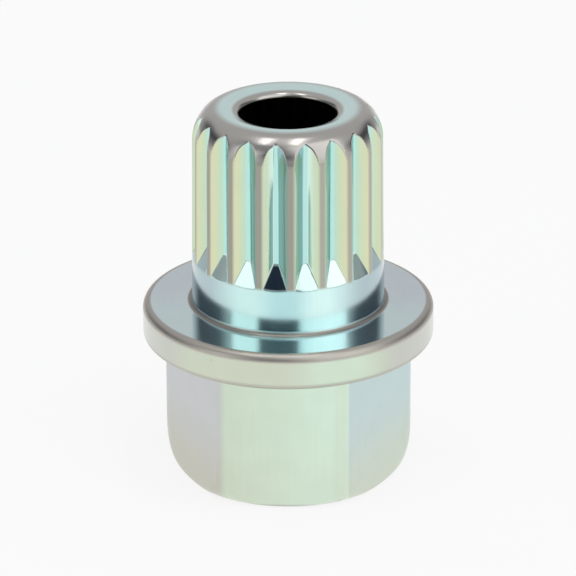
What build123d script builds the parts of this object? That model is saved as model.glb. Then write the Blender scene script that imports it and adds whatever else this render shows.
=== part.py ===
from build123d import *
import os
from math import asin, cos, pi, radians, sin, tan

# Key for locking wheel bolts, cold formed in one piece and zinc plated.
# A hexagon at the foot takes the wheel wrench, a flange stops the wrench, and a grooved nose
# fits the lock. A bore runs right through.
# Millimetres. The origin is the centre of the foot and +Z runs up to the nose.
# Angles about the axis are counted from -Y, where one flat of the hexagon faces, towards +X.

# Hexagon
hex_across_flats = 17.0
hex_edge_round = 0.45
hex_length = 11.3

# Foot of the hexagon, turned round: a slow bend from the wall into a tight one at the ground.
# A hold is the share of its reach for which a bend keeps the direction of that side.
foot_bend_height = 5.1
foot_bend_width = 1.88
foot_wall_hold = 0.56
foot_ground_hold = 0.91

# Flange
flange_diameter = 22.85
flange_thickness = 2.95
flange_top_round = 0.47
flange_under_bevel = 0.4

# Plain neck, from the flange to the lower ends of the grooves
neck_diameter = 15.12
neck_length = 3.6
neck_root_bevel = 0.28

# Nose, from the lower ends of the grooves to the top, drawn in a little as it rises
nose_length = 12.4
draft_angle = 0.56
shoulder_height = 2.69
shoulder_width = 2.0
shoulder_wall_hold = 0.5
shoulder_top_hold = 0.62

# Grooves: a narrow floor, two flat flanks, and a ramp on a cone that runs out into the neck
groove_count = 19
groove_first_angle = -5.4
groove_depth = 0.81
groove_floor_width = 0.38
groove_ramp_length = 2.1
land_width = 0.58

# Bore
bore_diameter = 7.5
bore_top_round = 0.85
bore_foot_bevel = 0.6

# How far a cutter reaches past the stock
cutter_margin = 1.0

# Levels and radii that follow from the sizes above
flange_under = hex_length
flange_top = flange_under + flange_thickness
groove_end = flange_top + neck_length
top = groove_end + nose_length
hex_corner_radius = (hex_across_flats / 2 - hex_edge_round) / cos(pi / 6) + hex_edge_round
flange_radius = flange_diameter / 2
neck_radius = neck_diameter / 2
nose_radius = neck_radius - (top - flange_top) * tan(radians(draft_angle))
groove_floor_radius = neck_radius - groove_depth
bore_radius = bore_diameter / 2


def bend(corner, back, onward, hold_in, hold_out):
    """A corner made round: back and onward reach from the corner to where the bend starts and ends."""
    corner, back, onward = Vector(corner), Vector(back), Vector(onward)
    holds = [corner + back * (1 - hold_in), corner + onward * (1 - hold_out)]
    return Bezier(corner + back, *holds, corner + onward)


def turned(path):
    """A solid turned about Z. The path holds curves and corner points, as radius and height."""
    curves = [item for item in path if isinstance(item, Edge)]
    ends = [(item @ 0, item @ 1) if isinstance(item, Edge) else (Vector(item), Vector(item)) for item in path]
    runs = [Line(end, start) for (_, end), (start, _) in zip(ends, ends[1:] + ends[:1])]
    return revolve(Plane.XZ * make_face(curves + runs), Axis.Z)


def hexagon_end():
    """The wrench hexagon: a prism with softened edges, turned round at the foot."""
    foot = bend(
        (hex_corner_radius, 0), (-foot_bend_width, 0), (0, foot_bend_height), foot_ground_hold, foot_wall_hold
    )
    stock = turned([
        (bore_radius, bore_foot_bevel),
        (bore_radius + bore_foot_bevel, 0),
        foot,
        (hex_corner_radius, flange_under),
        (bore_radius, flange_under),
    ])
    outline = RegularPolygon(hex_across_flats / 2, 6, major_radius=False)
    outline = fillet(outline.vertices(), hex_edge_round)
    return stock & extrude(outline, flange_under)


def turned_end():
    """Flange, neck and nose, before the grooves are cut."""
    wall = Vector(nose_radius, top) - Vector(neck_radius, flange_top)
    shoulder = bend(
        (nose_radius, top), wall * (-shoulder_height / wall.Y), (-shoulder_width, 0),
        shoulder_wall_hold, shoulder_top_hold
    )
    return turned([
        (bore_radius, flange_under),
        (flange_radius - flange_under_bevel, flange_under),
        (flange_radius, flange_under + flange_under_bevel),
        JernArc((flange_radius, flange_top - flange_top_round), (0, 1), flange_top_round, 90),
        (neck_radius + neck_root_bevel, flange_top),
        (neck_radius, flange_top + neck_root_bevel),
        shoulder,
        JernArc((bore_radius + bore_top_round, top), (-1, 0), bore_top_round, 90),
    ])


def groove_cutters():
    """The spaces of all the grooves, from their ramps to above the nose."""
    reach = neck_radius + cutter_margin
    above = top + cutter_margin

    # Across a groove along +X, two flanks open from the floor to the edges of the lands
    mouth_angle = pi / groove_count - land_width / 2 / neck_radius
    mouth = Vector(neck_radius * cos(mouth_angle), neck_radius * sin(mouth_angle))
    floor_angle = asin(groove_floor_width / 2 / groove_floor_radius)
    floor_edge = Vector(groove_floor_radius * cos(floor_angle), groove_floor_radius * sin(floor_angle))
    flank = mouth - floor_edge
    meeting = floor_edge - flank * (floor_edge.Y / flank.Y)
    half_reach = floor_edge.Y + flank.Y / flank.X * (reach - floor_edge.X)
    across = Polyline(meeting, (reach, -half_reach), (reach, half_reach), close=True)

    # A turned ring leaves the floors uncut, and below them a cone for the ramps
    ramp_foot_radius = neck_radius - neck_length * tan(radians(draft_angle))
    ramp_slope = groove_ramp_length / (ramp_foot_radius - groove_floor_radius)
    ring = turned([
        (groove_floor_radius, groove_end + groove_ramp_length),
        (reach, groove_end - ramp_slope * (reach - ramp_foot_radius)),
        (reach, above),
        (groove_floor_radius, above),
    ])
    space = extrude(make_face(across), above) & ring
    return [place * space for place in PolarLocations(0, groove_count, start_angle=groove_first_angle - 90)]


def wheel_lock_key():
    """The whole key: both ends joined, then the grooves cut round the nose."""
    return hexagon_end() + turned_end() - groove_cutters()


os.makedirs("parts", exist_ok=True)
export_step(wheel_lock_key(), "parts/wheel_lock_key.step")
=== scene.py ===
from math import asin, atan2, cos, degrees, hypot, pi, radians, sin, tan

import bpy
from bpy.props import FloatProperty, FloatVectorProperty, IntProperty, PointerProperty
from bpy.types import Operator, Panel, PropertyGroup
from mathutils import Matrix, Vector


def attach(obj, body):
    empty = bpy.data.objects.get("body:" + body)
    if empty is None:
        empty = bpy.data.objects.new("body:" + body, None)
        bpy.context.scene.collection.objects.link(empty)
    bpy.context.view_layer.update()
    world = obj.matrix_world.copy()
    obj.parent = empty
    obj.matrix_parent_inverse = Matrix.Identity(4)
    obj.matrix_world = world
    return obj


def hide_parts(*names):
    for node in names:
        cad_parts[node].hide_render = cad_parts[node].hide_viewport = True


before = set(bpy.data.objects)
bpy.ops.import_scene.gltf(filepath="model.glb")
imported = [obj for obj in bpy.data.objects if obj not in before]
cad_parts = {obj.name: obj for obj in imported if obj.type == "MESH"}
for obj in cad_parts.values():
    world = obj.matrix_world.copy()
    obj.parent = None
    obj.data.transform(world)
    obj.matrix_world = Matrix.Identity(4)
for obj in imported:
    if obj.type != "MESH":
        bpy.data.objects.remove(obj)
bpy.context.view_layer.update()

bl_info = {
    "name": "Wheel Lock Key",
    "version": (1, 0, 0),
    "blender": (4, 5, 0),
    "location": "3D View > Sidebar > Wheel Key",
    "description": "Builds a zinc plated key for locking wheel bolts, and the studio it stands in",
    "category": "Add Mesh",
}

NODE = "wheel_lock_key"
BODY = "root"

# One millimetre, in metres
MM = 0.001


# Properties


def length(name, description, millimetres):
    """A size in metres, with its default given in millimetres."""
    return FloatProperty(
        name=name, description=description, default=millimetres * MM, min=0, precision=6, unit="LENGTH"
    )


def angle(name, description, turn):
    """An angle, with its default given in degrees."""
    return FloatProperty(name=name, description=description, default=radians(turn), subtype="ANGLE")


def factor(name, description, default):
    """A number from 0 to 1."""
    return FloatProperty(name=name, description=description, default=default, min=0, max=1, subtype="FACTOR")


class WheelKeySizes(PropertyGroup):
    """The sizes of the key, whose edges are softer than on the solid that it stands for.

    A hold is the share of its reach for which a bend keeps the direction of that side.
    """

    hex_across_flats: length("Across flats", "Width of the hexagon from flat to flat", 17.0)
    hex_edge_round: length("Hexagon edge round", "Radius of the upright edges of the hexagon", 0.45)
    hex_length: length("Hexagon length", "Height of the hexagon, from the foot to the flange", 11.3)
    foot_bend_height: length("Foot bend height", "Height of the turned bend at the foot", 5.1)
    foot_bend_width: length("Foot bend width", "Width of the turned bend at the foot", 1.88)
    foot_wall_hold: factor("Foot wall hold", "How long the bend at the foot follows the wall", 0.56)
    foot_ground_hold: factor("Foot ground hold", "How long the bend at the foot follows the ground", 0.91)
    flange_diameter: length("Flange diameter", "Width of the flange", 22.85)
    flange_thickness: length("Flange thickness", "Height of the flange", 2.95)
    flange_top_round: length("Flange top round", "Radius of the upper edge of the flange", 0.62)
    flange_under_round: length("Flange under round", "Radius of the lower edge of the flange", 0.56)
    neck_diameter: length("Neck diameter", "Width of the neck at the flange", 15.12)
    neck_length: length("Neck length", "Height from the flange to the lower ends of the grooves", 3.6)
    nose_length: length("Nose length", "Height from the lower ends of the grooves to the top", 12.4)
    draft_angle: angle("Draft", "Angle by which the nose draws in", 0.56)
    shoulder_height: length("Shoulder height", "Height of the bend at the top of the nose", 2.69)
    shoulder_width: length("Shoulder width", "Width of the bend at the top of the nose", 2.0)
    shoulder_wall_hold: factor("Shoulder wall hold", "How long the shoulder follows the wall", 0.5)
    shoulder_top_hold: factor("Shoulder top hold", "How long the shoulder follows the top", 0.62)
    groove_count: IntProperty(name="Grooves", description="Number of them round the nose", default=19, min=3)
    groove_first_angle: angle("First groove", "Angle from the front, towards the right", -5.4)
    groove_depth: length("Groove depth", "Depth of the grooves below the neck", 0.81)
    groove_floor_width: length("Groove floor", "Width of the flat floor of a groove", 0.38)
    groove_ramp_length: length("Groove ramp", "Height of the ramp at the lower end of a groove", 2.1)
    land_width: length("Land", "Width of the land between two grooves, at the ramps", 0.48)
    bore_diameter: length("Bore", "Width of the bore", 7.55)
    bore_dish_diameter: length("Bore dish", "Width of the shallow dish round the bore", 10.0)
    bore_dish_angle: angle("Bore dish slope", "Slope of the dish round the bore", 20)
    bore_dish_round: length("Bore dish round", "Radius by which the dish leaves the ring", 1.0)
    bore_top_round: length("Bore top round", "Radius of the upper edge of the bore", 0.42)
    bore_foot_round: length("Bore foot round", "Radius of the lower rim of the bore", 0.6)
    edge_softness: length("Edge softness", "Width over which the edges of the lands are rounded", 0.18)
    ramp_softness: length("Ramp softness", "Width over which the edges of the ramps are rounded", 0.07)
    arch_softness: length("Arch softness", "Width over which the arches at the shoulder are rounded", 0.1)
    arch_opening: length("Arch opening", "How far the grooves open out under the shoulder", 0.1)
    crease_softness: length("Crease softness", "Width over which the creases of the grooves are filled", 0.06)
    root_softness: length("Root softness", "Width over which the corner of neck and flange is filled", 0.42)


def display(red, green, blue):
    """A colour as the shader takes it, from its red, green and blue on a screen, 11 to 255."""
    return [((value / 255 + 0.055) / 1.055) ** 2.4 for value in (red, green, blue)]


def colour(name, description, red, green, blue):
    """A colour that a user can change."""
    return FloatVectorProperty(
        name=name, description=description, default=display(red, green, blue), size=3, min=0, max=1,
        subtype="COLOR"
    )


class WheelKeyPlating(PropertyGroup):
    """The colours that the passivated zinc shows, and how finely it is finished."""

    edges: colour("Edges", "Lands between the grooves", 160, 156, 146)
    # Painted highlight: lands to the right are lighter, as the brighter panel on that side makes them
    edges_right_painted_highlight: colour("Edges right", "Lands between the grooves, to the right", 174, 173, 160)
    # Painted shade: the lower edge of the flange is darker, where it looks down at the floor under the flange
    rim: colour("Rim", "Lower edge of the flange", 189, 187, 176)
    # Painted shade: the filled corner between the neck and the flange is darker
    root: colour("Root", "Filled corner between the neck and the flange", 150, 144, 138)
    shoulder: colour("Shoulder", "Bend at the top of the nose and rim of the bore", 190, 186, 181)
    flange_edge: colour("Flange edge", "Upper edge of the flange", 186, 179, 172)
    ring: colour("Ring", "Flat ring round the bore", 226, 249, 247)
    flank: colour("Flank", "Flanks of the grooves that face to the front and back", 216, 222, 184)
    inner_flank: colour("Inner flank", "Flanks of the grooves near their floors", 196, 225, 200)
    aside_flank: colour("Aside flank", "Flanks of the grooves that are turned half aside", 205, 221, 191)
    inner_aside_flank: colour("Inner aside flank", "The same flanks near the floors", 212, 240, 228)
    # Painted reflection: flanks that face to the left are darker, as where they reflect the dark room
    left_flank_painted_reflection: colour("Left flank", "Flanks of the grooves that face to the left", 130, 162, 155)
    right_flank: colour("Right flank", "Flanks of the grooves that face to the right", 183, 208, 187)
    # Painted shade: side flanks are darker near the floors of the grooves
    inner_side_flank_painted_shade: colour("Inner side flank", "Flanks that face aside, near the floors", 150, 187, 193)
    groove_floor: colour("Groove floor", "Floors of the grooves", 187, 232, 226)
    ramp: colour("Ramp", "Ramps at the lower ends of the grooves", 219, 242, 238)
    # Painted shade: ramps at the far left and right are darker, standing in for the dark sides of the room
    # that they reflect
    ramp_side_painted_shade: colour("Ramp side", "Ramps of the grooves at the left and right", 152, 172, 176)
    # The neck's colours hold painted reflections: lighter to the right, darker at the front, back and sides
    neck: colour("Neck", "Plain neck above the flange", 207, 242, 238)
    neck_right_painted_highlight: colour("Neck right", "Neck to the right of its middle", 219, 252, 249)
    neck_middle_painted_shade: colour("Neck middle", "Front and back of the neck", 183, 225, 227)
    neck_side_painted_shade: colour("Neck side", "Sides of the neck", 178, 197, 203)
    flange_top: colour("Flange top", "Upper face of the flange", 219, 236, 238)
    flange_top_side: colour("Flange top side", "Upper face of the flange, at both sides", 217, 226, 232)
    flange_side: colour("Flange side", "Outer wall of the flange", 207, 215, 195)
    flange_side_mint: colour("Flange side mint", "Patches on the outer wall of the flange", 212, 230, 210)
    flange_side_end: colour("Flange side end", "Outer wall of the flange, at both sides", 202, 204, 196)
    hexagon_mint: colour("Hexagon mint", "Cool parts of the front and back of the hexagon", 216, 239, 222)
    hexagon_yellow: colour("Hexagon yellow", "Warm parts of the front and back of the hexagon", 204, 217, 195)
    hexagon_strip: colour("Hexagon strip", "Strip along an edge of the hexagon", 211, 228, 206)
    hexagon_left: colour("Hexagon left", "Flats of the hexagon that face to the left", 194, 196, 198)
    hexagon_right: colour("Hexagon right", "Flats of the hexagon that face to the right", 195, 213, 214)
    foot: colour("Foot", "Turned foot of the hexagon", 205, 212, 192)
    foot_left: colour("Foot left", "Turned foot of the hexagon, to the left", 191, 190, 177)
    outline: colour("Outline", "Edge of the foot", 160, 153, 145)
    tint: colour("Tint", "Colour that fine lines and clouds lean to", 160, 175, 170)
    bore: colour("Bore", "Wall of the bore", 118, 116, 102)
    groove_roughness: factor("Groove roughness", "Roughness of the grooves", 0.12)
    face_roughness: factor("Face roughness", "Roughness of the flange top and the ring", 0.12)
    neck_roughness: factor("Neck roughness", "Roughness of the neck", 0.17)
    edge_roughness: factor("Edge roughness", "Roughness of the flange's edges and the tops of the lands", 0.4)
    shoulder_roughness: factor("Shoulder roughness", "Roughness of the shoulder and the bore's mouth", 0.23)
    wall_roughness: factor("Wall roughness", "Roughness of the hexagon and the outer wall of the flange", 0.2)


class WheelKeyStudio(PropertyGroup):
    """The camera, the lights and what they stand in."""

    camera_azimuth: angle("Camera azimuth", "Angle of the camera from the front, towards the right", 2.42)
    camera_elevation: angle("Camera elevation", "Angle of the camera above the floor", 22.968)
    camera_distance: length("Camera distance", "Distance of the camera from its aim", 344.63)
    camera_aim: length("Camera aim", "Height of the point of the axis that the camera looks at", 15)
    camera_roll: angle("Camera roll", "Turn of the camera about its own axis", 0.131)
    camera_shift_x: FloatProperty(
        name="Shift X", description="Sideways shift, as a share of the frame", default=-0.00033, precision=5
    )
    camera_shift_y: FloatProperty(
        name="Shift Y", description="Upward shift, as a share of the frame", default=0.00158, precision=5
    )
    lens: FloatProperty(
        name="Lens", description="Focal length for a 36 mm sensor", default=274.16, unit="CAMERA"
    )
    panel_strength: FloatProperty(
        name="Panel strength", description="Brightness of the soft panels, where 1 is white", default=1, min=0
    )
    strip_strength: FloatProperty(
        name="Strip strength", description="Brightness of the two strips overhead, where 1 is white",
        default=5.5, min=0
    )
    room: colour("Room", "Colour of the room round the soft panels", 206, 207, 208)
    dark: colour("Dark", "Colour of the dark parts of the room", 22, 33, 50)
    floor: colour("Floor", "Colour of the floor", 250, 250, 250)
    floor_white: factor("Floor white", "How far the camera sees plain white in place of the lit floor", 0.85)


# Shape


def smooth_max(a, b, softness):
    """The larger of two distances, with the edge between them rounded over a width."""
    if softness <= 0:
        return max(a, b)
    overlap = max(softness - abs(a - b), 0) / softness
    return max(a, b) + overlap * overlap * softness / 4


def smooth_min(a, b, softness):
    """The smaller of two distances, with the corner between them filled over a width."""
    return -smooth_max(-a, -b, softness)


def rise(value, start, end):
    """Nought below the start, one above the end, and smooth between them."""
    share = min(max((value - start) / (end - start), 0), 1)
    return share * share * (3 - 2 * share)


def polar(radius, height, angle):
    """A point from its distance and angle about the axis, and its height."""
    return Vector((radius * cos(angle), radius * sin(angle), height))


class Bend:
    """A corner of a turned profile made round by one curve, counterclockwise about a centre in the stock."""

    def __init__(self, corner, back, onward, hold_in, hold_out):
        holds = corner + back * (1 - hold_in), corner + onward * (1 - hold_out)
        self.points = corner + back, *holds, corner + onward
        self.centre = corner + back + onward

    def at(self, t):
        """The point of the curve at a share of its way."""
        a, b, c, d = self.points
        s = 1 - t
        return a * (s * s * s) + b * (3 * s * s * t) + c * (3 * s * t * t) + d * (t * t * t)

    def way(self, t):
        """The unit direction of the curve at a share of its way."""
        a, b, c, d = self.points
        s = 1 - t
        return ((b - a) * (s * s) + (c - b) * (2 * s * t) + (d - c) * (t * t)).normalized()

    def find(self, measure):
        """The share of the way at which a measure of the point rises through nought."""
        low, high = 0.0, 1.0
        if measure(self.at(low)) > 0:
            return low
        for _ in range(40):
            middle = (low + high) / 2
            low, high = (middle, high) if measure(self.at(middle)) < 0 else (low, middle)
        return (low + high) / 2

    def distance(self, point):
        """How far a point of the profile's plane lies outside the curve, along its normal."""
        spoke = point - self.centre
        t = self.find(lambda p: spoke.cross(p - self.centre))
        way = self.way(t)
        return (point - self.at(t)).dot(Vector((way.y, -way.x)))


class KeyShape:
    """The levels and radii of the key, and distances from its surfaces, in metres."""

    def __init__(self, sizes):
        self.sizes = s = sizes
        self.flange_under = s.hex_length
        self.flange_top = self.flange_under + s.flange_thickness
        self.groove_end = self.flange_top + s.neck_length
        self.top = self.groove_end + s.nose_length
        self.flat_radius = s.hex_across_flats / 2
        self.neck_radius = s.neck_diameter / 2
        self.flange_radius = s.flange_diameter / 2
        self.bore_radius = s.bore_diameter / 2
        self.floor_radius = self.neck_radius - s.groove_depth
        self.pitch = 2 * pi / s.groove_count
        nose_radius = self.wall_radius(self.top)
        wall = Vector((nose_radius - self.neck_radius, self.top - self.flange_top))
        self.shoulder = Bend(
            Vector((nose_radius, self.top)), wall * (-s.shoulder_height / wall.y),
            Vector((-s.shoulder_width, 0)), s.shoulder_wall_hold, s.shoulder_top_hold
        )
        corner_radius = (self.flat_radius - s.hex_edge_round) / cos(pi / 6) + s.hex_edge_round
        self.hex_softness = s.hex_edge_round / 2
        self.foot = Bend(
            Vector((corner_radius, 0)), Vector((-s.foot_bend_width, 0)), Vector((0, s.foot_bend_height)),
            s.foot_ground_hold, s.foot_wall_hold
        )
        # As the bend has it, in single precision, so that a search for it ends where the bend does
        self.corner_radius = self.foot.points[-1].x
        self.ramp_foot_radius = self.wall_radius(self.groove_end)
        self.ramp_slope = s.groove_ramp_length / (self.ramp_foot_radius - self.floor_radius)
        mouth_angle = self.pitch / 2 - s.land_width / 2 / self.neck_radius
        self.floor_angle = asin(s.groove_floor_width / 2 / self.floor_radius)
        self.floor_edge = Vector((cos(self.floor_angle), sin(self.floor_angle))) * self.floor_radius
        mouth = Vector((self.neck_radius * cos(mouth_angle), self.neck_radius * sin(mouth_angle)))
        self.flank_length = (mouth - self.floor_edge).length
        self.flank_way = (mouth - self.floor_edge) / self.flank_length

        # Heights over which the edges of the grooves grow soft, those of the arches do, and the grooves open
        shoulder_start = self.shoulder.centre.y
        self.edge_rise = self.groove_end, self.groove_end + s.groove_ramp_length
        self.arch_rise = shoulder_start - 0.27 * MM, shoulder_start + 0.63 * MM
        self.opening_rise = shoulder_start - 1.12 * MM, shoulder_start + 0.28 * MM

        # Radii of the seams between the bands of the mesh: first the side of the nose or the hexagon
        self.neck_seam = self.neck_radius + 1.4 * MM, self.neck_radius + 1.84 * MM
        self.under_seam = self.flange_radius - 1.175 * MM, self.flange_radius - 0.825 * MM
        self.foot_seam = self.flat_radius - 1.9 * MM, self.flat_radius - 2.5 * MM
        self.ring_seam = nose_radius - s.shoulder_width - 0.15 * MM, s.bore_dish_diameter / 2 + 0.1 * MM

    def wall_radius(self, height):
        """Radius of the drafted neck and nose."""
        return self.neck_radius - (height - self.flange_top) * tan(self.sizes.draft_angle)

    def ramp_radius(self, height):
        """Radius of a ramp along its middle."""
        return self.ramp_foot_radius - (height - self.groove_end) / self.ramp_slope

    def turned_nose(self, radius, height):
        """Distance from the nose before its grooves are cut."""
        shoulder = self.shoulder
        if height < shoulder.centre.y:
            return (radius - self.wall_radius(height)) * cos(self.sizes.draft_angle)
        if radius < shoulder.centre.x:
            return height - self.top
        return shoulder.distance(Vector((radius, height)))

    def softness(self, height):
        """Width over which the edges of the grooves are rounded: most along the lands, least at the ramps."""
        s = self.sizes
        edge = s.ramp_softness + (s.edge_softness - s.ramp_softness) * rise(height, *self.edge_rise)
        return edge + (s.arch_softness - edge) * rise(height, *self.arch_rise)

    def nose(self, point, soft=1):
        """Distance from the grooved nose, with one groove along +X."""
        s = self.sizes
        x, y, height = point
        crease = s.crease_softness * soft
        radius = hypot(x, y)
        across = Vector((x, abs(y))) - self.floor_edge
        share = min(max(across.dot(self.flank_way) / self.flank_length, 0), 1)
        opening = s.arch_opening * rise(height, *self.opening_rise)
        flank = across.y * self.flank_way.x - across.x * self.flank_way.y - opening * 4 * share * (1 - share)
        ramp = (self.ramp_radius(height) - (x + radius) / 2) / hypot(1, 1 / self.ramp_slope)
        groove = smooth_max(smooth_max(self.floor_radius - opening - radius, flank, crease), ramp, crease)
        solid = smooth_max(self.turned_nose(radius, height), -groove, self.softness(height) * soft)
        return smooth_min(solid, height - self.flange_top, s.root_softness * soft)

    def hexagon(self, point, soft=1):
        """Distance from the hexagon, with one flat facing +X."""
        s = self.sizes
        x, y, height = point
        sides = sorted(abs(x * cos(a) + y * sin(a)) - self.flat_radius for a in (0, pi / 3, -pi / 3))
        prism = smooth_max(sides[2], sides[1], self.hex_softness * soft)
        radius = hypot(x, y)
        if height > self.foot.centre.y:
            turned = radius - self.corner_radius
        elif radius < self.foot.centre.x:
            turned = -height
        else:
            turned = self.foot.distance(Vector((radius, height)))
        solid = smooth_max(prism, turned, self.hex_softness * soft)
        return smooth_min(solid, self.flange_under - height, s.root_softness / 2 * soft)

    def groove_radius(self, angle):
        """Radius of the floor or flank of a groove, at an angle from its middle."""
        if angle <= self.floor_angle:
            return self.floor_radius
        edge, way = self.floor_edge, self.flank_way
        along = (edge.y * cos(angle) - edge.x * sin(angle)) / (way.x * sin(angle) - way.y * cos(angle))
        return (edge + way * along).length

    def land_edge_angle(self, height):
        """Angle from the middle of a groove to the edge of the land, at a height."""
        radius = self.wall_radius(height)
        low, high = 0.0, self.pitch / 2
        for _ in range(30):
            middle = (low + high) / 2
            low, high = (middle, high) if self.groove_radius(middle) < radius else (low, middle)
        return low


def settled(point, distance):
    """A point moved onto the surface where a distance is nought, and the normal there."""
    step = 0.01 * MM
    for _ in range(4):
        ways = Matrix.Identity(3) * step
        slope = Vector([distance(point + way) - distance(point - way) for way in ways]) / (2 * step)
        point = point - slope * (distance(point) / slope.length_squared)
    return point, slope.normalized()


class KeySkin:
    """The mesh of the key, built from bands of columns that run along the outline."""

    def __init__(self):
        self.places, self.normals, self.rounding, self.faces = [], [], [], []

    def band(self, columns):
        """Adds a closed band. Each column holds the place, normal and rounding of its points."""
        first = len(self.places)
        rows = len(columns[0])
        for column in columns:
            for place, normal, rounding in column:
                self.places.append(place)
                self.normals.append(normal)
                self.rounding.append(rounding)
        for i in range(len(columns)):
            a, b = first + i * rows, first + (i + 1) % len(columns) * rows
            self.faces += [(a + j, b + j, b + j + 1, a + j + 1) for j in range(rows - 1)]
        starts = [first + i * rows for i in range(len(columns))]
        return starts, [start + rows - 1 for start in starts]

    def stitch(self, ring, onward):
        """Joins two rings with different numbers of points that lie in one plane."""

        def by_bearing(points):
            around = sorted((atan2(self.places[i].y, self.places[i].x), i) for i in points)
            bearing, first = around[0]
            return around + [(bearing + 2 * pi, first)]

        near, far = by_bearing(ring), by_bearing(onward)
        i = j = 0
        while i < len(near) - 1 or j < len(far) - 1:
            if j == len(far) - 1 or (i < len(near) - 1 and near[i + 1][0] <= far[j + 1][0]):
                self.faces.append((near[i][1], far[j][1], near[i + 1][1]))
                i += 1
            else:
                self.faces.append((near[i][1], far[j][1], far[j + 1][1]))
                j += 1

    def mesh(self, name):
        """The mesh with smooth normals, and the rounding of each point as an attribute."""
        mesh = bpy.data.meshes.new(name)
        mesh.from_pydata(self.places, [], self.faces)
        mesh.validate()
        attribute = mesh.attributes.new("rounding", "FLOAT", "POINT")
        attribute.data.foreach_set("value", self.rounding)
        mesh.shade_smooth()
        mesh.normals_split_custom_set_from_vertices(self.normals)
        return mesh


def turned_columns(path, count):
    """Columns of a turned band. The path holds radius, height, normal direction and rounding."""
    columns = []
    for i in range(count):
        c, s = cos(2 * pi * i / count), sin(2 * pi * i / count)
        columns.append([
            (Vector((r * c, r * s, z)), Vector((cos(n) * c, cos(n) * s, sin(n))), rounding)
            for r, z, n, rounding in path
        ])
    return columns


def arc(centre_radius, centre_height, radius, start, end, steps):
    """A rounded edge of a turned path, between two directions of its normal."""
    path = []
    for i in range(steps + 1):
        n = start + (end - start) * i / steps
        place = centre_radius + radius * cos(n), centre_height + radius * sin(n)
        path.append((*place, n, sin(pi * i / steps)))
    return path


def mirrored_columns(half, sector, first_angle):
    """Columns of a whole band, from those of half a sector that starts along +X."""

    def moved(columns, matrix):
        return [
            [(matrix @ place, matrix @ normal, rounding) for place, normal, rounding in column]
            for column in columns
        ]

    whole = moved(half, Matrix.Diagonal((1, -1, 1)))[-2:0:-1] + half
    columns = []
    for i in range(round(2 * pi / sector)):
        columns += moved(whole, Matrix.Rotation(first_angle - pi / 2 + i * sector, 3, "Z"))
    return columns


def soft_points(points, distance, softness):
    """Points laid onto a rounded surface, with how much of the rounding each has. Softness takes a height."""
    column = []
    for point in points:
        place, normal = settled(point, distance)
        rounding = min(abs(distance(place, soft=0)) / (softness(place.z) / 4), 1)
        column.append((place, normal, rounding))
    return column


# Columns from the middle of a groove, 0, to the middle of a land, 3. The edge of the floor is at 1, and the
# edge of the land at 2
NOSE_COLUMNS = (
    0, 0.45, 0.8, 1, 1.1, 1.25, 1.42, 1.55, 1.66, 1.75, 1.83, 1.9, 1.96,
    2, 2.08, 2.18, 2.3, 2.45, 2.62, 2.8, 3,
)
# Rows of the filled corner at the flange, in millimetres out from the neck and then up from the flange
CORNER_OUT = 0.55, 0.4, 0.3, 0.2, 0.12, 0.05, 0
CORNER_UP = 0.05, 0.12, 0.2, 0.3, 0.4, 0.55
# Rows of a ramp: the share of the way up it, and millimetres above that
RAMP_ROWS = (
    (0, -0.24), (0, -0.14), (0, -0.07), (0, -0.02), (0, 0.02), (0.03, 0.04), (0.08, 0.05), (0.16, 0.06),
    (0.28, 0.07), (0.42, 0.08), (0.56, 0.09), (0.7, 0.1), (0.82, 0.11), (0.91, 0.12), (0.96, 0.13),
    (1, 0.15), (1, 0.2), (1, 0.28), (1, 0.4),
)
# Rows just below an arch, in millimetres down from it, and how far an arch bulges over its flank's opening
ARCH_ROWS = 0.32, 0.2, 0.12, 0.06, 0.02
ARCH_BULGE = 1.4
# Rows of the shoulder, as the share of the way from the arch to the ring
SHOULDER_ROWS = 0.01, 0.03, 0.06, 0.1, 0.15, 0.21, 0.28, 0.36, 0.45, 0.54, 0.63, 0.72, 0.81, 0.9, 1


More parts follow.
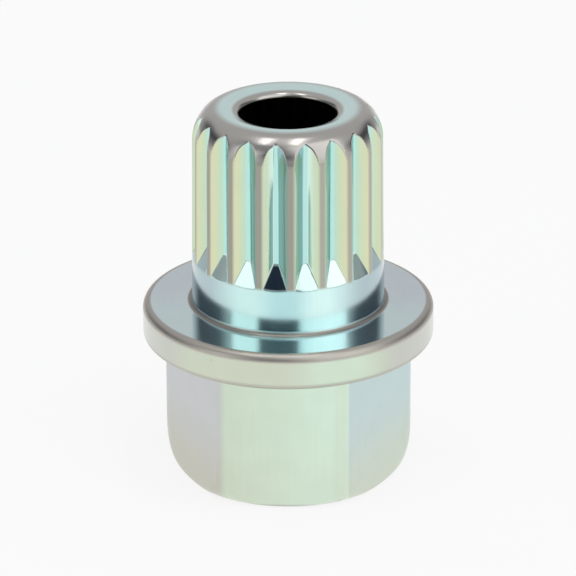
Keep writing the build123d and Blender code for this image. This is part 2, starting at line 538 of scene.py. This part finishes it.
def nose_columns(shape):
    """Columns of the nose, from the flange up to the flat ring round the bore."""
    flange_top, shoulder = shape.flange_top, shape.shoulder

    def angle_at(u, height):
        """How far a column is turned from the middle of its groove, at a height."""
        edge = shape.land_edge_angle(min(height, shoulder.centre.y))
        stops = 0, shape.floor_angle, edge, shape.pitch / 2
        i = min(int(u), 2)
        return stops[i] + (stops[i + 1] - stops[i]) * (u - i)

    def on_wall(u, height):
        """The point of a column on the neck, on a land, or on the ramp, flank or floor of a groove."""
        angle, radius = angle_at(u, height), shape.wall_radius(height)
        if u < 2:
            radius = min(radius, max(shape.ramp_radius(height), shape.groove_radius(angle)))
        return polar(radius, height, angle)

    def between(u, start, end, shares):
        """Points of a column between two heights."""
        return [on_wall(u, start + (end - start) * share) for share in shares]

    columns = []
    for u in NOSE_COLUMNS:
        # Flange and the filled corner
        low = angle_at(u, shape.groove_end)
        points = [polar(shape.neck_seam[0], flange_top, low)]
        points += [polar(shape.neck_radius + out * MM, flange_top, low) for out in CORNER_OUT]
        heights = [flange_top + up * MM for up in CORNER_UP]
        points += [polar(shape.wall_radius(height), height, low) for height in heights]

        # Ramp: from where it leaves the neck to where it meets the floor or the flank
        start = shape.groove_end + shape.ramp_slope * shape.ramp_foot_radius * (1 - cos(low)) / 2
        depth = shape.groove_radius(low) if u < 2 else shape.ramp_foot_radius
        end = start + shape.ramp_slope * max(shape.ramp_foot_radius - depth, 0)
        points += between(u, heights[-1], start - 0.3 * MM, (0.4, 0.8))
        points += [on_wall(u, start + (end - start) * share + above * MM) for share, above in RAMP_ROWS]

        # Wall, up to the arch in which the groove ends: the opened groove leaves the shoulder about there
        high = angle_at(u, shoulder.centre.y)
        leave = 0.0
        if u < 2:
            share = max(u - 1, 0)
            bulge = 4 * share * (1 - share) * ARCH_BULGE
            depth = shape.groove_radius(high) - shape.sizes.arch_opening * max(1 - share, bulge)
            leave = shoulder.find(lambda place: depth - place.x)
        arch = shoulder.at(leave).y
        points += between(u, end + RAMP_ROWS[-1][1] * MM, arch - ARCH_ROWS[0] * MM, (0.25, 0.5, 0.75))
        points += [on_wall(u, arch - below * MM) for below in ARCH_ROWS]

        # Shoulder, and the edge of the ring
        places = [shoulder.at(leave + (1 - leave) * share) for share in SHOULDER_ROWS]
        points += [polar(place.x, place.y, high) for place in places]
        points.append(polar(shape.ring_seam[0], shape.top, high))
        columns.append(soft_points(points, shape.nose, shape.softness))
    return columns


# Columns of half a flat of the hexagon, in degrees from its middle
HEXAGON_COLUMNS = 0, 5, 10, 15, 19, 22, 24.5, 26.5, 27.7, 28.5, 29.1, 29.6, 30
# Rows below the flange: millimetres out from the wall, and then down from the flange
UNDER_OUT = 0.3, 0.2, 0.12, 0.05
UNDER_DOWN = 0.02, 0.08, 0.15, 0.25, 0.4
# Rows above the bend at the foot, in millimetres, and rows of the bend as the share of the way up it
BEND_ABOVE = 0.7, 0.45, 0.25, 0.1
BEND_ROWS = 1, 0.97, 0.93, 0.88, 0.82, 0.75, 0.67, 0.59, 0.51, 0.43, 0.35, 0.27, 0.19, 0.12, 0.06, 0.02, 0


def hexagon_columns(shape):
    """Columns of the hexagon, from the underside of the flange to the foot."""
    under = shape.flange_under
    columns = []
    for angle in map(radians, HEXAGON_COLUMNS):
        wall = min(shape.flat_radius / cos(angle), shape.corner_radius)
        leave = shape.foot.find(lambda place: place.x - wall)
        bend_top = shape.foot.at(leave).y
        wall_top, wall_end = under - UNDER_DOWN[-1] * MM, bend_top + BEND_ABOVE[0] * MM

        places = [(shape.under_seam[0], under)]
        places += [(wall + out * MM, under) for out in UNDER_OUT]
        places += [(wall, under - down * MM) for down in UNDER_DOWN]
        places += [(wall, wall_top + (wall_end - wall_top) * share) for share in (0.3, 0.6, 0.85)]
        places += [(wall, bend_top + above * MM) for above in BEND_ABOVE]
        places += [shape.foot.at(leave * share) for share in BEND_ROWS]
        places.append((shape.foot_seam[0], 0))
        points = [polar(radius, height, angle) for radius, height in places]
        columns.append(soft_points(points, shape.hexagon, lambda height: shape.hex_softness))
    return columns


def bore_path(shape):
    """The bore from the foot up, with the dish round its mouth, as turned_columns takes it."""
    s = shape.sizes
    down, inward, up = -pi / 2, pi, pi / 2
    path = [(shape.foot_seam[1], 0, down, 0)]
    edge = s.bore_foot_round
    path += arc(shape.bore_radius + edge, edge, edge, down, -inward, 8)
    path += [(shape.bore_radius, shape.top * share, -inward, 0) for share in (0.2, 0.4, 0.6, 0.8, 0.93)]

    slope, edge = s.bore_dish_angle, s.bore_top_round
    dish_radius, edge_radius = s.bore_dish_diameter / 2, shape.bore_radius + edge
    slope_start = dish_radius - s.bore_dish_round * sin(slope)
    slope_end = edge_radius - edge * sin(slope)
    drop = s.bore_dish_round * (1 - cos(slope)) + (slope_start - slope_end) * tan(slope)
    path += arc(edge_radius, shape.top - drop - edge * cos(slope), edge, inward, up + slope, 10)
    path += arc(dish_radius, shape.top - s.bore_dish_round, s.bore_dish_round, up + slope, up, 8)
    return path + [(shape.ring_seam[1], shape.top, up, 0)]


def flange_path(shape):
    """The flange from its top down to its underside, as turned_columns takes it."""
    s = shape.sizes
    top, under, radius = shape.flange_top, shape.flange_under, shape.flange_radius
    down, out, up = -pi / 2, 0, pi / 2
    path = [(shape.neck_seam[1], top, up, 0)]
    edge = s.flange_top_round
    path += arc(radius - edge, top - edge, edge, up, out, 10)
    path += [(radius, under + s.flange_thickness * share, out, 0) for share in (0.65, 0.4)]
    edge = s.flange_under_round
    path += arc(radius - edge, under + edge, edge, out, down, 10)
    return path + [(shape.under_seam[1], under, down, 0)]


# Numbers of columns round the turned bands
BORE_SIDES = 160
FLANGE_SIDES = 240


def build_skin(shape):
    """The closed mesh of the whole key: four bands, stitched along their seams."""
    skin = KeySkin()
    nose = mirrored_columns(nose_columns(shape), shape.pitch, shape.sizes.groove_first_angle)
    hexagon = mirrored_columns(hexagon_columns(shape), pi / 3, 0)

    bore_foot, bore_top = skin.band(turned_columns(bore_path(shape), BORE_SIDES)[::-1])
    nose_foot, nose_top = skin.band(nose)
    flange_top, flange_under = skin.band(turned_columns(flange_path(shape), FLANGE_SIDES)[::-1])
    hexagon_top, hexagon_foot = skin.band(hexagon[::-1])

    skin.stitch(nose_foot, flange_top)
    skin.stitch(flange_under, hexagon_top)
    skin.stitch(hexagon_foot, bore_foot)
    skin.stitch(bore_top, nose_top)
    return skin


# Shading


class Wire:
    """An output of a shader node. Sums, products and the like of wires add Math nodes."""

    def __init__(self, tree, socket=None):
        self.tree, self.socket = tree, socket

    def node(self, kind, settings=None, inputs=None, output=0):
        """Adds a node: its settings are set first, then the values or links of its sockets."""
        node = self.tree.nodes.new(kind)
        for name, value in (settings or {}).items():
            setattr(node, name, value)
        for key, value in (inputs or {}).items():
            if isinstance(value, Wire):
                self.tree.links.new(value.socket, node.inputs[key])
            else:
                node.inputs[key].default_value = value
        return Wire(self.tree, node.outputs[output] if node.outputs else None)

    def out(self, name):
        """Another output of the same node."""
        return Wire(self.tree, self.socket.node.outputs[name])

    def maths(self, operation, *values):
        """A Math node on these values, or on the wire alone."""
        return self.node("ShaderNodeMath", {"operation": operation}, dict(enumerate(values or (self,))))

    def __add__(self, other):
        return self.maths("ADD", self, other)

    def __radd__(self, other):
        return self.maths("ADD", other, self)

    def __sub__(self, other):
        return self.maths("SUBTRACT", self, other)

    def __rsub__(self, other):
        return self.maths("SUBTRACT", other, self)

    def __mul__(self, other):
        return self.maths("MULTIPLY", self, other)

    def __rmul__(self, other):
        return self.maths("MULTIPLY", other, self)

    def __truediv__(self, other):
        return self.maths("DIVIDE", self, other)

    def __rtruediv__(self, other):
        return self.maths("DIVIDE", other, self)

    def __abs__(self):
        return self.maths("ABSOLUTE", self)

    def rise(self, start, end):
        """Nought below the start, one above the end, and smooth between them."""
        settings = {"interpolation_type": "SMOOTHSTEP", "clamp": True}
        return self.node("ShaderNodeMapRange", settings, {"Value": self, "From Min": start, "From Max": end})

    def window(self, start, end, blur):
        """One between the start and the end, and nought outside, with soft sides."""
        return self.rise(start - blur, start + blur) * (1 - self.rise(end - blur, end + blur))

    def mix(self, first, second):
        """A mix of two colours, with this wire as the share of the second."""
        first, second = (colour if isinstance(colour, Wire) else (*colour, 1) for colour in (first, second))
        inputs = {"Factor": self, 6: first, 7: second}
        return self.node("ShaderNodeMix", {"data_type": "RGBA"}, inputs, output=2)

    def split(self):
        """The three parts of a vector or a colour."""
        x = self.node("ShaderNodeSeparateXYZ", None, {0: self})
        return x, x.out("Y"), x.out("Z")


def empty_tree(block):
    """The first wire of a material or a world, whose nodes are all taken out."""
    block.use_nodes = True
    block.node_tree.nodes.clear()
    return Wire(block.node_tree)


def compass(x, y):
    """A wire's bearing about the axis in degrees, counted from the front towards the right."""
    return x.maths("ARCTAN2", x, -1 * y) * degrees(1)


# Turn of a flank from where its groove faces, in degrees
FLANK_TURN = 45
# Radii, in millimetres, over which the colour of the ring comes in and goes out again
RING_INNER = 4.15, 4.45
RING_OUTER = 5.1, 5.9


class Plating:
    """Passivated zinc plate, whose colour follows the surfaces of the key. It counts in millimetres."""

    def __init__(self, shape, look):
        self.look = look
        self.material = bpy.data.materials.new("passivated_zinc")
        self.start = start = empty_tree(self.material)
        coordinates = start.node("ShaderNodeTexCoord", output="Object")
        inputs = {0: coordinates, "Scale": 1 / MM}
        self.place = start.node("ShaderNodeVectorMath", {"operation": "SCALE"}, inputs)
        self.x, self.y, self.z = self.place.split()
        self.radius = (self.x * self.x + self.y * self.y).maths("SQRT")
        self.upward = coordinates.out("Normal").split()[2]
        self.rounding = start.node("ShaderNodeAttribute", {"attribute_name": "rounding"}, output="Fac")

        # Sine of the bearing from the front, and how far aside that is
        self.bearing = self.x / self.radius
        self.sideways = abs(self.bearing)

        # Patches over several millimetres, and blotches and grain inside them
        self.patches = self.cloud(0.16, 1, 3.0).rise(0.3, 0.7)
        self.blotches = self.cloud(0.6, 3, 8.0)
        self.grain = self.cloud(5, 2, 1.0)

        # Levels and radii
        self.flange_under, self.flange_top = shape.flange_under / MM, shape.flange_top / MM
        self.groove_end, self.top = shape.groove_end / MM, shape.top / MM
        self.ramp_top = self.groove_end + shape.sizes.groove_ramp_length / MM
        self.shoulder_start = shape.shoulder.centre.y / MM
        self.flange_radius, self.neck_radius = shape.flange_radius / MM, shape.neck_radius / MM
        self.bore_radius = shape.bore_radius / MM

        # Bearing of the middle of the groove at hand, and how far a point is from it, as a share of the pitch
        pitch = degrees(shape.pitch)
        azimuth = compass(self.x, self.y)
        turn = (azimuth - degrees(shape.sizes.groove_first_angle)) / pitch
        self.off_middle = turn - turn.maths("ROUND")
        self.groove_azimuth = azimuth - self.off_middle * pitch
        # Nought in the middle of a groove and one in the middle of a land
        self.across = abs(self.off_middle) * 2

        # Where each kind of surface is
        z, radius, top = self.z, self.radius, self.top
        near_axis = 1 - radius.rise(self.neck_radius + 0.25, self.neck_radius + 0.4)
        self.on_neck = near_axis * z.rise(self.flange_top - 0.2, self.flange_top)
        at_shoulder = z.rise(self.shoulder_start - 0.4, self.shoulder_start)
        self.on_shoulder = self.upward.rise(0.12, 0.3) * at_shoulder
        at_top = z.rise(top - 0.9, top - 0.6)
        self.on_ring = radius.rise(*RING_INNER) * (1 - radius.rise(*RING_OUTER)) * at_top

        colour, relief = self.marks(self.nose(self.neck(self.flange(self.hexagon()))))
        bump_inputs = {"Height": relief, "Strength": 0.06, "Distance": 0.05 * MM}
        shader = start.node("ShaderNodeBsdfPrincipled", None, {
            "Base Color": colour, "Metallic": 1.0, "Roughness": self.gloss(),
            "Normal": start.node("ShaderNodeBump", None, bump_inputs),
        })
        start.node("ShaderNodeOutputMaterial", None, {"Surface": shader})

    def cloud(self, scale, detail, seed, vector=None):
        """Noise, with its scale per millimetre."""
        inputs = {"Vector": vector or self.place, "W": seed, "Scale": scale, "Detail": detail}
        return self.start.node("ShaderNodeTexNoise", {"noise_dimensions": "4D"}, inputs)

    def hexagon(self):
        """The colour of the hexagon: a front of yellow and mint with a strip, and two cooler sides."""
        look, x, z = self.look, self.x, self.z
        low = 1 - z.rise(0.5, 8)
        front = (x.rise(-6, 5) * 0.8 + self.patches * 0.2).mix(look.hexagon_yellow, look.hexagon_mint)
        front = (x.window(3.9, 4.9, 0.3) * 0.6).mix(front, look.hexagon_strip)
        front = (low * 0.35).mix(front, look.foot)
        left = low.mix(look.hexagon_left, look.foot_left)
        right = (low * 0.8).mix(look.hexagon_right, look.foot)
        body = x.rise(-5.3, -4.45).mix(left, x.rise(4.9, 5.15).mix(front, right))
        return (1 - z.rise(0, 0.4)).mix(body, look.outline)

    def flange(self, body):
        """Adds the flange: its wall with coloured edges, the lower one painted shade, and its top."""
        look, z, under, top = self.look, self.z, self.flange_under, self.flange_top
        side = self.bearing.window(0.15, 0.6, 0.15).mix(look.flange_side, look.flange_side_mint)
        side = self.sideways.rise(0.58, 0.8).mix(side, look.flange_side_end)
        # The lower edge of the wall is painted darker: painted shade under the flange
        side = ((1 - z.rise(under + 0.3, under + 0.6)) * 0.9).mix(side, look.rim)
        side = (z.rise(top - 0.75, top - 0.5) * 0.9).mix(side, look.flange_edge)
        face = self.y.rise(-4, 2).mix(look.flange_top, look.flange_top_side)
        edge = self.radius.rise(self.flange_radius - 0.7, self.flange_radius - 0.5)
        side = z.rise(top - 0.2, top - 0.05).mix(side, edge.mix(face, look.flange_edge))
        return z.rise(under - 0.1, under).mix(body, side)

    def neck(self, body):
        """Adds the plain neck, with painted reflections, and its root, with painted shade."""
        look, top = self.look, self.flange_top
        # Painted highlight: the neck is lighter to the right of its middle, as the brighter panel on that
        # side makes it
        neck = self.bearing.rise(-0.2, 0.2).mix(look.neck, look.neck_right_painted_highlight)
        # Painted shade: darker at the front and back, where the neck reflects the dark gap behind the camera
        neck = self.sideways.rise(0.05, 0.35).mix(look.neck_middle_painted_shade, neck)
        # Painted shade: darker at the sides, where the neck reflects the dark sides of the room
        neck = self.sideways.rise(0.42, 0.84).mix(neck, look.neck_side_painted_shade)
        # The root is painted darker: painted shade in the corner at the flange
        root = 1 - self.z.rise(top + 0.15, top + 0.3)
        return self.on_neck.mix(body, root.mix(neck, look.root))

    def nose(self, body):
        """Adds the grooves with their ramps, the lands, the shoulder, the ring and the bore.

        A flank's colour goes by where it faces, and by how near it is to the floor of its groove. Flanks that
        face to the left, and side flanks near the floors, are painted darker as shade.
        """
        look, across = self.look, self.across
        faces = self.groove_azimuth - self.off_middle.maths("SIGN") * FLANK_TURN
        lean = faces.maths("RADIANS").maths("SINE")
        plain = across.rise(0.25, 0.6).mix(look.inner_flank, look.flank)
        aside = across.rise(0.25, 0.62).mix(look.inner_aside_flank, look.aside_flank)
        # Flanks that face to the left are painted darker: a painted reflection of the dark room
        side = lean.rise(-0.1, 0.1).mix(look.left_flank_painted_reflection, look.right_flank)
        # Side flanks near the floors are painted darker: painted shade down in the grooves
        side = across.rise(0.48, 0.62).mix(look.inner_side_flank_painted_shade, side)
        groove = abs(lean).rise(0.66, 0.72).mix(abs(lean).rise(0.4, 0.48).mix(plain, aside), side)
        groove = across.rise(0.14, 0.2).mix(look.groove_floor, groove)
        # Lands to the right are painted lighter: a painted highlight from the brighter panel on that side
        lands = self.bearing.rise(0.05, 0.3).mix(look.edges, look.edges_right_painted_highlight)
        nose = across.rise(0.7, 0.92).mix(groove, lands)

        below_wall = 1 - self.z.rise(self.ramp_top + 0.2, self.ramp_top + 0.5)
        # Ramps at the far left and right are painted darker: a painted reflection of the dark sides of the
        # room
        ramp = self.sideways.rise(0.8, 0.85).mix(look.ramp, look.ramp_side_painted_shade)
        nose = (self.upward.rise(0.15, 0.26) * below_wall).mix(nose, ramp)
        above_neck = self.z.rise(self.groove_end - 0.05, self.groove_end + 0.3)
        body = (above_neck * self.on_neck).mix(body, nose)

        body = self.on_ring.mix(self.on_shoulder.mix(body, look.shoulder), look.ring)
        inside = 1 - self.radius.rise(self.bore_radius + 0.01, self.bore_radius + 0.04)
        return inside.mix(body, look.bore)

    def marks(self, body):
        """Adds fine lines and a few specks, and gives the relief that goes with them.

        The lines run along the drawn surfaces and round the turned ones.
        """
        look, z, start = self.look, self.z, self.start
        stretched = {0: self.place, 1: (1, 1, 0.03)}
        drawn = start.node("ShaderNodeVectorMath", {"operation": "MULTIPLY"}, stretched)
        turned = start.node("ShaderNodeCombineXYZ", None, {0: self.radius, 1: z})
        on_flange = z.rise(self.flange_under, self.flange_under + 0.1)
        on_flange = on_flange * (1 - z.rise(self.flange_top, self.flange_top + 0.5))
        drawn_lines, turned_lines = self.cloud(4, 3, 2.0, drawn), self.cloud(6, 3, 4.0, turned)
        lines = drawn_lines + (on_flange + self.on_ring) * (turned_lines - drawn_lines)
        body = ((lines - 0.5) * 0.12 + (self.blotches - 0.5) * 0.15 + 0.04).mix(body, look.tint)

        dots = start.node("ShaderNodeTexVoronoi", None, {"Vector": self.place, "Scale": 0.55})
        chosen = dots.out("Color").split()[0].rise(0.8, 0.82)
        specks = (1 - dots.rise(0.02, 0.05)) * chosen
        body = (specks * 0.35).mix(body, look.edges)
        return body, self.grain * 0.7 + lines * 0.2 + specks * 0.5

    def gloss(self):
        """The roughness of all the surfaces."""
        look, z, top = self.look, self.z, self.top
        rough = look.wall_roughness
        rough = rough + z.rise(self.flange_top - 0.1, self.flange_top) * (look.face_roughness - rough)
        rough = rough + self.on_neck * (look.neck_roughness - rough)
        in_groove = (1 - self.across.rise(0.7, 0.8)) * z.rise(self.groove_end, self.groove_end + 0.1)
        rough = rough + in_groove * (look.groove_roughness - rough)
        on_flange = z.rise(self.flange_under, self.flange_under + 0.1)
        on_flange = on_flange * (1 - z.rise(self.flange_top, self.flange_top + 1))
        flange_edge = (self.rounding * on_flange).rise(0, 0.3)
        rough = rough + flange_edge * (look.edge_roughness - rough)
        bend = z.rise(top - 1.9, top - 1.2) * (look.shoulder_roughness - look.edge_roughness)
        rough = rough + self.on_shoulder * (look.edge_roughness + bend - rough)
        return rough + (self.blotches - 0.5) * 0.08


def floor_material(studio):
    """Pale floor that reflections see white and cameras nearly so, with the shadow of the key on it."""
    material = bpy.data.materials.new("floor_paper")
    start = empty_tree(material)
    ray = start.node("ShaderNodeLightPath", output="Is Camera Ray")
    seen = ray.maths("MAXIMUM", ray * studio.floor_white, ray.out("Is Glossy Ray"))
    plain = start.node("ShaderNodeBsdfDiffuse", None, {"Color": (*studio.floor, 1)})
    white = start.node("ShaderNodeEmission", None, {"Color": (1, 1, 1, 1), "Strength": 1.0})
    mixed = start.node("ShaderNodeMixShader", None, {0: seen, 1: plain, 2: white})
    start.node("ShaderNodeOutputMaterial", None, {"Surface": mixed})
    return material


def studio_world(studio):
    """A pale room, dark behind the camera and at both sides. It counts in degrees."""
    world = bpy.data.worlds.new("studio")
    start = empty_tree(world)
    x, y, z = start.node("ShaderNodeTexCoord", output="Generated").split()
    azimuth = compass(x, y) - degrees(studio.camera_azimuth)
    elevation = z.maths("ARCSINE") * degrees(1)

    # A dark gap behind the camera, two dark sides, and a dimmer wall over all of the front
    low = 1 - elevation.rise(22, 34)
    gap = azimuth.window(-37, 15, 5) * low * elevation.rise(8, 15)
    sides = abs(azimuth).window(81, 143, 12) * low * (0.45 + elevation.rise(7, 17) * 0.5)
    front = azimuth.window(-75, 60, 25) * (1 - elevation.rise(48, 68)) * 0.5
    dark = gap.maths("MAXIMUM", gap.maths("MAXIMUM", gap, sides), front)
    light = dark.mix(studio.room, studio.dark)
    background = start.node("ShaderNodeBackground", None, {"Color": light, "Strength": 1.0})
    start.node("ShaderNodeOutputWorld", None, {"Surface": background})
    return world


# Soft panels round the key: azimuth from the camera and elevation in degrees, width and height in metres, and
# the share of the panel strength
PANELS = {"left": (-53.5, 20, 0.45, 0.44, 0.85), "right": (43.5, 34, 0.84, 0.9, 0.88)}
PANEL_DISTANCE = 0.8
# Strips overhead: place in metres, and direction across
STRIPS = {"left": ((-0.23, -0.11, 0.8), (0.95, -0.32, 0)), "right": ((0.1, -0.12, 0.8), (1, 0, 0))}
STRIP_WIDTH, STRIP_LENGTH = 0.06, 0.44
# How far the floor reaches from the key, in metres
FLOOR_REACH = 3


def direction(azimuth, elevation):
    """The unit vector towards an azimuth, counted from the front towards the right, and an elevation."""
    return Vector((sin(azimuth) * cos(elevation), -cos(azimuth) * cos(elevation), sin(elevation)))


def soft_panel(name, place, across, width, height, radiance):
    """A rectangular lamp that faces the key, as bright as the radiance says."""
    lamp = bpy.data.lights.new(name, "AREA")
    lamp.shape = "RECTANGLE"
    lamp.size, lamp.size_y = width, height
    lamp.energy = radiance * pi * width * height
    panel = bpy.data.objects.new(name, lamp)
    away = place.normalized()
    side = (across - away * across.dot(away)).normalized()
    turn = Matrix((side, away.cross(side), away)).transposed().to_4x4()
    panel.matrix_world = Matrix.Translation(place) @ turn
    bpy.context.scene.collection.objects.link(panel)


def studio_camera(studio):
    """The camera, at the photograph's angle."""
    camera = bpy.data.objects.new("camera", bpy.data.cameras.new("camera"))
    bpy.context.scene.collection.objects.link(camera)
    back = direction(studio.camera_azimuth, studio.camera_elevation)
    camera.location = Vector((0, 0, studio.camera_aim)) + back * studio.camera_distance
    turn = back.to_track_quat("Z", "Y").to_matrix() @ Matrix.Rotation(-studio.camera_roll, 3, "Z")
    camera.rotation_euler = turn.to_euler()
    camera.data.lens = studio.lens
    camera.data.sensor_width = 36
    camera.data.clip_start = 10 * MM
    camera.data.shift_x = studio.camera_shift_x
    camera.data.shift_y = studio.camera_shift_y
    return camera


def studio_floor(studio):
    """The floor, which isn't part of the key."""
    reach = FLOOR_REACH
    mesh = bpy.data.meshes.new("floor")
    mesh.from_pydata([(-reach, -reach, 0), (reach, -reach, 0), (reach, reach, 0), (-reach, reach, 0)], [],
                     [(0, 1, 2, 3)])
    mesh.materials.append(floor_material(studio))
    floor = bpy.data.objects.new("floor", mesh)
    bpy.context.scene.collection.objects.link(floor)


# Operators and panel


class WHEELKEY_OT_build_key(Operator):
    """Build the key in place of its solid"""

    bl_idname = "wheelkey.build_key"
    bl_label = "Build Key"

    def execute(self, context):
        scene = context.scene
        shape = KeyShape(scene.wheel_key_sizes)
        mesh = build_skin(shape).mesh("key_skin")
        mesh.materials.append(Plating(shape, scene.wheel_key_plating).material)
        key = bpy.data.objects.new("key_skin", mesh)
        scene.collection.objects.link(key)
        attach(key, BODY)
        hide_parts(NODE)
        return {"FINISHED"}


class WHEELKEY_OT_build_stage(Operator):
    """Build the floor, the lights and the camera"""

    bl_idname = "wheelkey.build_stage"
    bl_label = "Build Stage"

    def execute(self, context):
        scene = context.scene
        studio = scene.wheel_key_studio
        scene.view_settings.view_transform = "Standard"
        scene.camera = studio_camera(studio)
        scene.world = studio_world(studio)
        studio_floor(studio)
        for name, (azimuth, elevation, width, height, share) in PANELS.items():
            turn = radians(azimuth) + studio.camera_azimuth
            across = Vector((cos(turn), sin(turn), 0))
            place = direction(turn, radians(elevation)) * PANEL_DISTANCE
            soft_panel("panel_" + name, place, across, width, height, studio.panel_strength * share)
        for name, (place, across) in STRIPS.items():
            sizes = STRIP_WIDTH, STRIP_LENGTH
            soft_panel("strip_" + name, Vector(place), Vector(across), *sizes, studio.strip_strength)
        return {"FINISHED"}


class WHEELKEY_PT_sidebar(Panel):
    """The sizes and finishes of the key, and the buttons that build it and its stage"""

    bl_label = "Wheel Lock Key"
    bl_space_type = "VIEW_3D"
    bl_region_type = "UI"
    bl_category = "Wheel Key"

    def draw(self, context):
        layout = self.layout
        layout.operator(WHEELKEY_OT_build_key.bl_idname)
        layout.operator(WHEELKEY_OT_build_stage.bl_idname)
        scene = context.scene
        for group in (scene.wheel_key_sizes, scene.wheel_key_plating, scene.wheel_key_studio):
            box = layout.box()
            for name in group.__annotations__:
                box.prop(group, name)


classes = (
    WheelKeySizes, WheelKeyPlating, WheelKeyStudio, WHEELKEY_OT_build_key, WHEELKEY_OT_build_stage,
    WHEELKEY_PT_sidebar,
)


def register():
    """Add the classes, and keep their properties with the scene."""
    for cls in classes:
        bpy.utils.register_class(cls)
    bpy.types.Scene.wheel_key_sizes = PointerProperty(type=WheelKeySizes)
    bpy.types.Scene.wheel_key_plating = PointerProperty(type=WheelKeyPlating)
    bpy.types.Scene.wheel_key_studio = PointerProperty(type=WheelKeyStudio)


def unregister():
    """Take away what register added."""
    del bpy.types.Scene.wheel_key_studio
    del bpy.types.Scene.wheel_key_plating
    del bpy.types.Scene.wheel_key_sizes
    for cls in reversed(classes):
        bpy.utils.unregister_class(cls)


def main():
    """Build everything."""
    register()
    bpy.ops.wheelkey.build_key()
    bpy.ops.wheelkey.build_stage()


if __name__ == "__main__":
    main()
